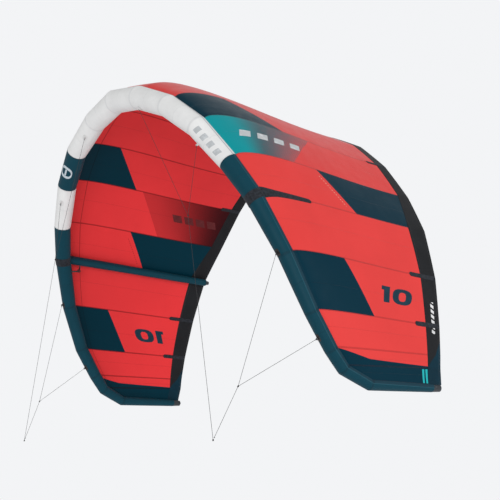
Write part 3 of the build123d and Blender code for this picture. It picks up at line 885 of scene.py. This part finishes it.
# ---- leading-edge tube
RING_STEPS = np.array([0, 0.012, 0.03, 0.06, 0.11, 0.2, 0.32, 0.44, 0.56, 0.68, 0.8, 0.89, 0.94, 0.97, 0.988])
COLUMNS = 120
WALL = 0.9 * MM
FLAP_REACH = (-0.0265, 0.003)  # metres round the tube from the sewn line


def tube_rows(first, last):
    """Seam coordinates from first to last, closer together near each seam."""
    rows = [k + RING_STEPS for k in range(math.floor(first), math.ceil(last))]
    rows = np.concatenate(rows + [[math.ceil(last)]])
    inside = rows[(rows > first + 1e-6) & (rows < last - 1e-6)]
    return np.concatenate([[first], inside, [last]])


def swell(u):
    return PUFF * np.sin(math.pi * np.clip(u - np.floor(u), 0, 1)) ** 0.7


def sleeve(name, first, last, tone):
    u, turn = np.meshgrid(tube_rows(first, last), around(COLUMNS, -math.pi), indexing="ij")
    seam = seam_distance(u, TUBE_RUN)
    groove = 0.35 * MM * np.exp(-((seam / 0.005) ** 2))
    gather = 0.25 * MM * np.sin(24 * turn + 2.1 * np.round(u)) * np.exp(-np.abs(seam) / 0.03)
    relief = swell(u) - groove + gather
    data = marks(u, turn, seam, between_rows(TUBE_RUN, u), turn * between_rows(SIZE, u))
    layers = tube(u, turn, relief), tube(u, turn, relief - WALL)
    piece = slab(f"leading_edge_{name}", *layers, f"dacron_{tone}", SLEEVES[tone][0], wrap=True, data=data)
    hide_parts(f"le_sleeve_{name}")
    return piece


def flap(name, first, last, tone):
    """Strip of the sleeve that the canopy is sewn to, beside the seam on its outer side."""
    us = tube_rows(first, last)
    reach = np.linspace(*FLAP_REACH, 9)
    u, offset = np.meshgrid(us, reach, indexing="ij")
    size = between_rows(SIZE, u)
    turn = between_rows(SEW, u) + offset / size
    seam = seam_distance(u, TUBE_RUN)
    thick = np.where(offset < -0.0255, 0.6, 1.6) * MM
    puff = swell(u)
    top, under = tube(u, turn, puff + thick + 0.5 * MM), tube(u, turn, puff + 0.1 * MM)
    data = marks(u, turn, seam, between_rows(TUBE_RUN, u), offset - reach[0] - 0.0015)
    slab(f"canopy_flap_{name}", top, under, f"dacron_{tone}", SLEEVES[tone][1], data=data)


SLEEVES = {"white": (DACRON_WHITE, FLAP_WHITE), "navy": (DACRON_NAVY, FLAP_NAVY)}
TIP_AT = 10.885
sleeves = [
    sleeve("centre", -2, 2, "white"),
    sleeve("left_badge", -3, -2, "navy"),
    sleeve("left_upper", -4, -3, "white"),
    sleeve("right_upper", 2, 4, "white"),
    sleeve("left_lower", -8, -4, "navy"),
    sleeve("right_lower", 4, 8, "navy"),
    sleeve("left_tip", -TIP_AT, -8, "navy"),
    sleeve("right_tip", 8, TIP_AT, "navy"),
]
flap("centre", -2, 4, "white")
flap("badge", -3, -2, "navy")
flap("left_upper", -4, -3, "white")
flap("left_lower", -TIP_AT, -4, "navy")
flap("right_lower", 4, TIP_AT, "navy")

# ---- struts
NO_SEAM = 0.05  # far enough from a seam that the sleeve cloth shows none


def strut(word, side):
    row = row_of(side * STRUT)
    shares = np.concatenate([np.linspace(0.022, 0.07, 9), np.linspace(0.09, 0.985, 48)])
    size = np.interp(shares, STRUT_AT, STRUT_RADIUS)
    size[0] = 0.030
    axis = strut_line(side, shares)
    way = unit(np.gradient(axis, axis=0))
    up = unit(UP[row] - way * (way @ UP[row])[:, None])
    wide = np.cross(way, up)
    turns = around(72, -math.pi)
    wrinkle = 0.5 * MM * np.sin(18 * turns[None, :]) * np.exp(-((1 - shares[:, None]) / 0.02))
    reach = size[:, None] + wrinkle
    ring = np.cos(turns)[None, :, None] * up[:, None, :] + np.sin(turns)[None, :, None] * wide[:, None, :]
    top = axis[:, None, :] + ring * reach[..., None]
    under = axis[:, None, :] + ring * (reach - WALL)[..., None]
    run = shares[:, None] * LENGTH[row]
    seam = np.abs(run - LENGTH[row] * 0.5) + NO_SEAM
    data = marks(shares[:, None], turns[None, :], seam, run, turns[None, :] * size[:, None])
    piece = slab(f"strut_{word}", top, under, "dacron_navy", DACRON_NAVY, wrap=True, data=data)
    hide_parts(f"strut_sleeve_{word}")
    # The web that joins the strut to the canopy.
    shares = np.linspace(0.032, 0.968, 60)
    size = np.interp(shares, STRUT_AT, STRUT_RADIUS)
    half = np.array([-0.013, -0.007, 0.0, 0.007, 0.013])
    u = side * STRUT + half[None, :] / 0.35 + 0 * shares[:, None]
    s = shares[:, None] + 0 * half[None, :]
    (top,) = skin_off(u, s, -0.1 * MM)
    axis = strut_line(side, shares)
    sink = size[:, None] - 0.0024 - half[None, :] ** 2 / (2 * size[:, None])
    wide = unit(np.cross(CHORD[row], UP[row]))
    under = axis[:, None, :] + UP[row] * sink[..., None] - wide * half[None, :, None] * 0.8
    data = marks(s, 0.0, NO_SEAM, s * LENGTH[row], u)
    slab(f"strut_web_{word}", top, under, "dacron_navy", DACRON_NAVY, data=data)


for word, side in SIDES:
    strut(word, side)


# ---- tabs and patches on the tube
def superellipse(turn, power):
    """Unit rounded square: power 2 is a circle, and more is squarer."""
    reach = (np.abs(np.cos(turn)) ** power + np.abs(np.sin(turn)) ** power) ** (-1 / power)
    return np.stack([np.cos(turn) * reach, np.sin(turn) * reach], -1)


def on_tube(u0, turn0, grid):
    """Seam coordinates and turns of a flat grid, in metres, laid on the tube."""
    k = math.floor(u0)
    run = TUBE_RUN[row_of(k + 1)] - TUBE_RUN[row_of(k)]
    return u0 + grid[..., 0] / run, turn0 + grid[..., 1] / float(between_rows(SIZE, np.array(u0)))


def polar_patch(name, u0, turn0, long, wide, thick, material, slot, hole=0.02, power=4.0):
    """A reinforcement on the tube, from a hole's share of its size to its thinner rim."""
    rim = superellipse(around(40), power) * (long, wide)
    u, turn = on_tube(u0, turn0, rim * np.linspace(hole, 1, 5)[:, None, None])
    lift = swell(u) + 0.1 * MM
    fade = np.array([1.0, 1.0, 1.0, 1.0, 0.5])[:, None]
    return slab(name, tube(u, turn, lift + thick * fade), tube(u, turn, lift), slot, material, wrap=True)


def tabs():
    turn = around(48)
    c, s = np.cos(turn), np.sin(turn)
    rim = np.stack([np.where(c > 0, c * TAB_WIDTH / 2, c * (TAB_REACH - 0.0003)),
                    np.clip(s * np.where(c > 0, 1, 1.9), -1, 1) * TAB_WIDTH / 2], -1)
    scale = np.linspace(0, 1, 5)[:, None, None]
    flat = np.stack([c, s], -1) * TAB_HOLE * (1 - scale) + rim * scale + (TAB_REACH, 0)
    height = np.array([0.55, 1.0, 0.9, 1.0, 0.6])[:, None, None] * TAB_THICK / 2
    for word, side in SIDES:
        for name, (seam, share, _) in TABS.items():
            cloth = WEBBING_WHITE if seam < NAVY else WEBBING
            foot, out, way = tab_frame(side, name)
            base, rise = foot + out * flat[..., :1] + way * flat[..., 1:], np.cross(out, way) * height
            layers = base + rise, base - rise
            slab(f"bridle_tab_{name}_{word}", *layers, "webbing", cloth, wrap=True)
            row = row_of(side * seam)
            turn0 = math.atan2(float(out @ AFT[row]), float(out @ OUT[row]))
            polar_patch(f"tab_patch_{name}_{word}", side * (seam + share), turn0, 0.026, 0.019, 0.9 * MM,
                        cloth, "webbing")
    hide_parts("bridle_tabs")


tabs()

VALVE_U, VALVE_TURN = 1.5, math.radians(90 + 35)
polar_patch("valve_patch", VALVE_U, VALVE_TURN, 0.062, 0.062, 0.8 * MM, STITCH, "valve_grey", 0.40, 2.0)
for word, side in SIDES:
    polar_patch(f"hose_patch_{word}", side * (STRUT + HOSE_FROM), math.atan2(*HOSE_LEAVES), 0.024, 0.024,
                0.9 * MM, CHAFE, "chafe_black", 0.2, 2.0)


# ---- printed marks
def print_on_skin(name, u0, s0, grid, side, material, inside=False):
    """A printed mark: grid is (along the reading direction, up) in metres."""
    width = float(panel_width(side * math.floor(u0), 0.6, side))
    chord = float(between_rows(LENGTH, np.array(side * u0)))
    u = side * (u0 - grid[..., 1] / width)
    s = s0 + side * grid[..., 0] / chord
    high, low = PRINT_LIFTS
    lifts = (-high, -low) if inside else (SHEET + high, SHEET + low)
    return slab(name, *skin_off(u, s, *lifts), "ripstop", material)


def bar(x0, x1, y0, y1, slant, rows=7):
    """Slanted bar as a grid."""
    y = np.linspace(y0, y1, rows)[:, None]
    x = np.linspace(x0, x1, 4)[None, :]
    return np.stack([x + slant * y, y + 0 * x], -1)


def numeral_zero(width, height, slant, weight):
    turn = np.linspace(0, 2 * math.pi, 45)
    shape = superellipse(turn, 2.7)
    outer = shape * (width / 2, height / 2)
    inner = shape * (width / 2 - weight, height / 2 - weight * 0.42)
    mix = np.linspace(0, 1, 4)[None, :, None]
    grid = outer[:, None, :] * (1 - mix) + inner[:, None, :] * mix
    grid[..., 0] += slant * grid[..., 1]
    return grid


NUMERAL_HEIGHT, NUMERAL_SLANT = 0.118, 0.35
NUMERAL_U, NUMERAL_S, BAR_U = 6.53, 0.655, 3.47
PRINT_LIFTS = (0.30 * MM, 0.05 * MM)
prints = []
# The inner-face numerals are painted shadow: the print as seen with light coming through the cloth.
for word, side in SIDES:
    for face, inside in (("outer", False), ("inner", True)):
        for name, grid in (
            ("one", bar(-0.122, -0.064, -0.059, 0.059, NUMERAL_SLANT)),
            ("one_flag", bar(-0.144, -0.120, 0.030, 0.059, NUMERAL_SLANT)),
            ("zero", numeral_zero(0.190, NUMERAL_HEIGHT, NUMERAL_SLANT, 0.060) + np.array([0.060, 0])),
        ):
            name = f"size_{name}_{face}_{word}"
            prints.append(print_on_skin(name, NUMERAL_U, NUMERAL_S, grid, side, INK_NAVY, inside))
# The bars on the left wing's inner face are painted shadow of a print seen through the cloth.
for index in range(4):
    grid = bar(-0.045, 0.045, -0.036, 0.036, 0.55)
    name = f"panel_bar_{index}_"
    prints.append(print_on_skin(name + "right", BAR_U, 0.112 + 0.088 * index, grid, 1, INK_WHITE))
    prints.append(print_on_skin(name + "left", BAR_U, 0.66 + 0.070 * index, grid, -1, INK_SHADOW, True))
on_canopy += prints


def print_on_tube(name, u0, turn0, grid, material, slot):
    u, turn = on_tube(u0, turn0, grid)
    slab(name, tube(u, turn, swell(u) + 0.35 * MM), tube(u, turn, swell(u) + 0.05 * MM), slot, material)


TUBE_BAR_TURN, BADGE_U, BADGE_TURN = math.radians(-70), -2.50, math.radians(-125)
for index in range(4):
    grid = bar(-0.022, 0.022, -0.026, 0.026, 0.3)
    print_on_tube(f"tube_bar_{index}", 3.20 + 0.20 * index, TUBE_BAR_TURN, grid, INK_GREY, "dacron_white")
BADGE = {"ring": numeral_zero(0.115, 0.115, 0, 0.024), "bar": bar(-0.030, 0.030, -0.008, 0.008, 0)}
for name, grid in BADGE.items():
    print_on_tube(f"tube_badge_{name}", BADGE_U, BADGE_TURN, grid, INK_BADGE, "dacron_navy")

# ---- CAD pieces that stay
looks = {"le_bladder": FILM, "inflation_valve": VALVE_PLASTIC, "valve_cap": MOULDED}
for word, _ in SIDES:
    looks |= {f"{node}_{word}": CAP_PLASTIC for node in ("tip_end_cap", "strut_end_cap")}
    looks |= {f"{node}_{word}": MOULDED for node in ("hose_clip", "hose_clip_lever")}
    looks[f"strut_bladder_{word}"] = FILM
for node, material in looks.items():
    NODES[node].data.materials.clear()
    NODES[node].data.materials.append(material)

# ---- studio
BACKDROP = (0.896, 0.905, 0.921)
AMBIENT = 0.61
world = bpy.data.worlds.new("studio")
world.use_nodes = True
background = world.node_tree.nodes["Background"]
background.inputs[0].default_value = (*BACKDROP, 1)
seen = world.node_tree.nodes.new("ShaderNodeLightPath")
strength = world.node_tree.nodes.new("ShaderNodeMapRange")
strength.inputs["To Min"].default_value = AMBIENT
world.node_tree.links.new(seen.outputs["Is Camera Ray"], strength.inputs["Value"])
world.node_tree.links.new(strength.outputs[0], background.inputs[1])
bpy.context.scene.world = world
bpy.context.scene.view_settings.view_transform = "Standard"

FLOOR_AT, FLOOR_HALF = -4.6, 19.0
floor_mesh = bpy.data.meshes.new("floor")
corners = [(x * FLOOR_HALF, y * FLOOR_HALF, FLOOR_AT) for x, y in ((-1, -1), (1, -1), (1, 1), (-1, 1))]
floor_mesh.from_pydata(corners, [], [(0, 1, 2, 3)])
floor = bpy.data.objects.new("floor", floor_mesh)
show(floor)
floor_look = Shader("floor_pale", roughness=1.0, base_color=(0.50, 0.50, 0.51, 1), specular_ior_level=0.0,
                    emission_color=(*BACKDROP, 1), emission_strength=0.55)
floor_mesh.materials.append(floor_look.material)


def light(name, kind, energy, way, at=(0, 0, 0)):
    """A light at a point, shining from the direction way."""
    data = bpy.data.lights.new(name, kind)
    data.energy = energy
    lamp = bpy.data.objects.new(name, data)
    lamp.location = at
    lamp.rotation_euler = way.to_track_quat("Z", "Y").to_euler()
    show(lamp)
    return data


SIDE_AT, SIDE_AIM = Vector((8.0, 3.5, 0.0)), Vector((1.4, 1.0, -1.2))
light("side", "AREA", 140, SIDE_AT - SIDE_AIM, SIDE_AT).size = 4.0

# A broad soft source from the camera's side of the studio.
light("key", "SUN", 1.45, Vector((0.76, -0.62, -0.02))).angle = math.radians(30)
